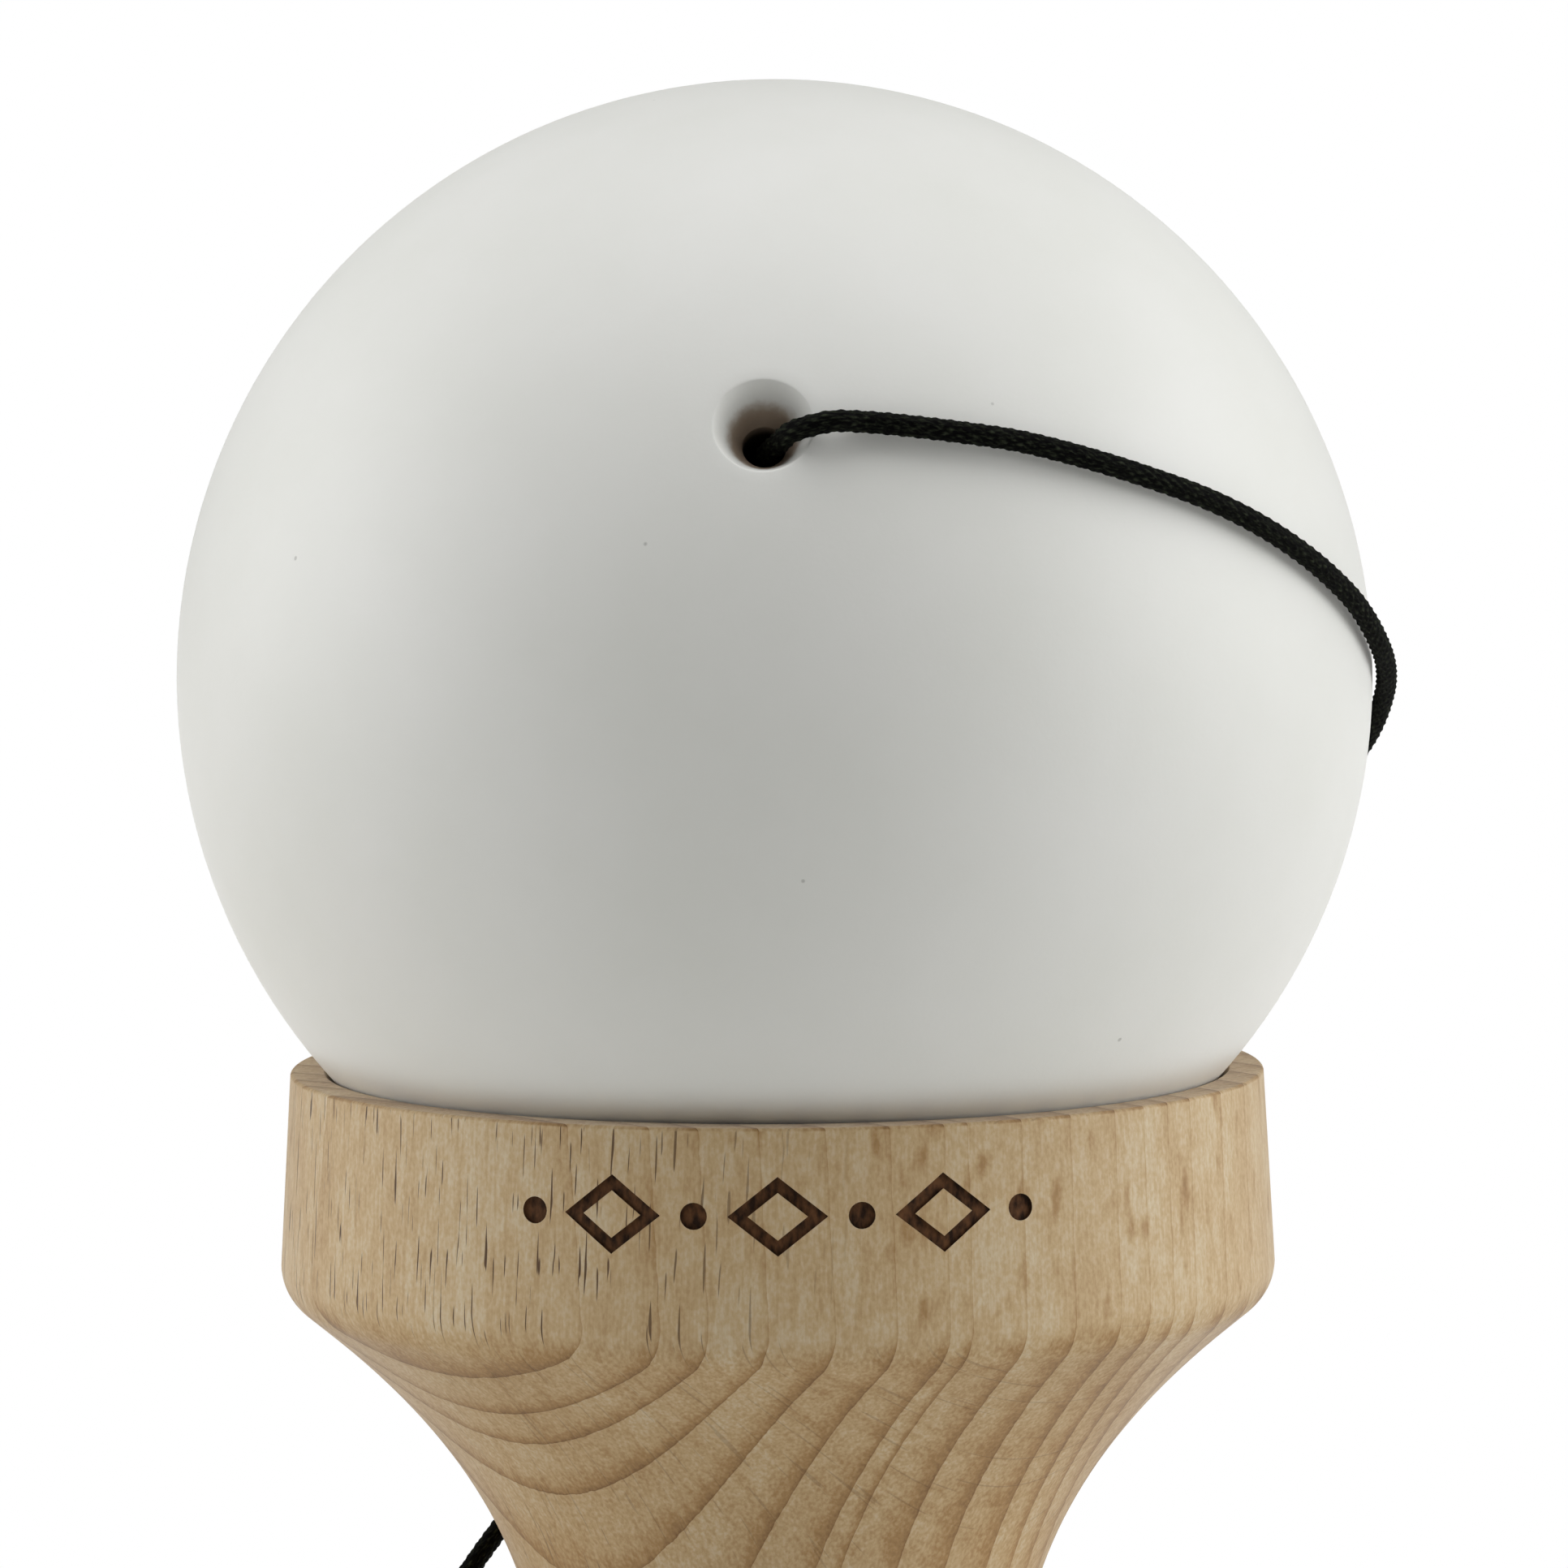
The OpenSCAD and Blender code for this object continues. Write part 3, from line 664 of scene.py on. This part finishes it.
# Painted shade: the string hole's bare wood turns near black from 2.5 to 3.4 mm below the surface
painted_hole_shade_depth = add_node(matte_paint, "Math", {0: spike_hole, 1: -ball_r, 2: sunk}, operation="MULTIPLY_ADD")
charring_and_painted_hole_shade = add_node(matte_paint, "MapRange", {"Value": painted_hole_shade_depth, "From Min": 2.5, "From Max": 3.4})
hole_wood_and_painted_shade = add_node(matte_paint, "Mix", {0: charring_and_painted_hole_shade, 6: linear("#a89684"), 7: linear("#2a211a")},
                     data_type="RGBA")
coat = add_node(matte_paint, "Mix", {0: bare, 6: paint.outputs[2], 7: hole_wood_and_painted_shade.outputs[2]}, data_type="RGBA")
peel = add_node(matte_paint, "Bump", {"Height": nap, "Strength": 0.15, "Distance": 0.05 * MM})
shader = add_node(matte_paint, "BsdfPrincipled", {
    "Base Color": coat.outputs[2], "Roughness": 0.5, "Specular IOR Level": 0.4, "Normal": peel})
add_node(matte_paint, "OutputMaterial", {"Surface": shader})
ball.data.materials.append(matte_paint)
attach(ball, "tama")
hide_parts("tama")

# Bead: a small turned beech bead, flattened at both ends and bored through for the string.
# It sits in the pointed end of the ball's spike hole, too wide for the string hole above it.
bead_r = 4.5
bead_flat_r = 2.2
bead_bore_r = 1
bead_z = 8.285
bead_edge = 0.25
bead_half = sqrt(bead_r**2 - bead_flat_r**2)
bead_turn = degrees(acos(bead_flat_r / bead_r))
bead_outline = (
    [(bead_bore_r, bead_edge - bead_half), (bead_bore_r + bead_edge, -bead_half)]
    + arc((0, 0), bead_r, -bead_turn, bead_turn, 32)
    + [(bead_bore_r + bead_edge, bead_half), (bead_bore_r, bead_half - bead_edge)]
)
bead = turned("wooden_bead", bead_outline, ball_place @ Matrix.Translation((0, 0, bead_z)), closed=True)
soften(bead)
bead.data.materials.append(turned_beech("turned_beech_bead", (hole_tilt - pi / 2, 0, 0), (3, 8, 0)))
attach(bead, "string_bead")
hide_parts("bead")

# Floor: a white table top, matte, lit by the lamps. To the camera and in reflections it is an even white
# glow, with a painted soft shadow near the toy.
# It reaches far past the picture on all sides.
floor_half = 2000
shade_reach = 60
floor_mesh = bmesh.new()
bmesh.ops.create_grid(floor_mesh, x_segments=1, y_segments=1, size=floor_half * MM)
floor = piece_from("floor", floor_mesh)
white_table = new_material("white_table")
seen = add_node(white_table, "LightPath")
# Painted shadow: ambient occlusion darkens the floor's white glow near the toy
shade = add_node(white_table, "AmbientOcclusion", {"Distance": shade_reach * MM}, samples=16)
glow = add_node(white_table, "Emission", {"Color": shade.outputs["Color"], "Strength": 1})
top_coat = add_node(white_table, "BsdfDiffuse", {"Color": linear("#dadad8")})
mirrored = add_node(white_table, "Math", {
    0: seen.outputs["Is Glossy Ray"], 1: seen.outputs["Is Transmission Ray"]}, operation="ADD")
direct = add_node(white_table, "Math", {0: seen.outputs["Is Camera Ray"], 1: mirrored}, operation="ADD",
                  use_clamp=True)
surface = add_node(white_table, "MixShader", {0: direct, 1: top_coat, 2: glow})
add_node(white_table, "OutputMaterial", {"Surface": surface})
floor.data.materials.append(white_table)

# Light: a tent with a soft lamp on the left, on the right and above, and the camera's side left dark.
# Each lamp is brightest at its middle and fades out towards its edge.
lamps = (((-1, 0.1, 0.15), 3.5), ((1, 0, 0.15), 4), ((0, 0, 1), 2.85))
lamp_middle = radians(10)
lamp_edge = radians(40)
tent = bpy.data.worlds.new("light_tent")
tent.use_nodes = True
tent.node_tree.nodes.clear()
view = add_node(tent, "TexCoord")
light = 0
for way, strength in lamps:
    facing = add_node(tent, "VectorMath", {0: view.outputs["Generated"], 1: Vector(way).normalized()},
                      operation="DOT_PRODUCT")
    lamp = add_node(tent, "MapRange", {
        "Value": facing.outputs["Value"], "From Min": cos(lamp_edge), "From Max": cos(lamp_middle),
        "To Max": strength}, interpolation_type="SMOOTHSTEP")
    light = add_node(tent, "Math", {0: lamp, 1: light}, operation="ADD")
seen = add_node(tent, "LightPath")
brightness = add_node(tent, "Mix", {0: seen.outputs["Is Camera Ray"], 2: light, 3: 1}, data_type="FLOAT")
sky = add_node(tent, "Background", {"Color": linear("#ffffff"), "Strength": brightness})
add_node(tent, "OutputWorld", {"Surface": sky})
bpy.context.scene.world = tent
bpy.context.scene.view_settings.view_transform = "Standard"
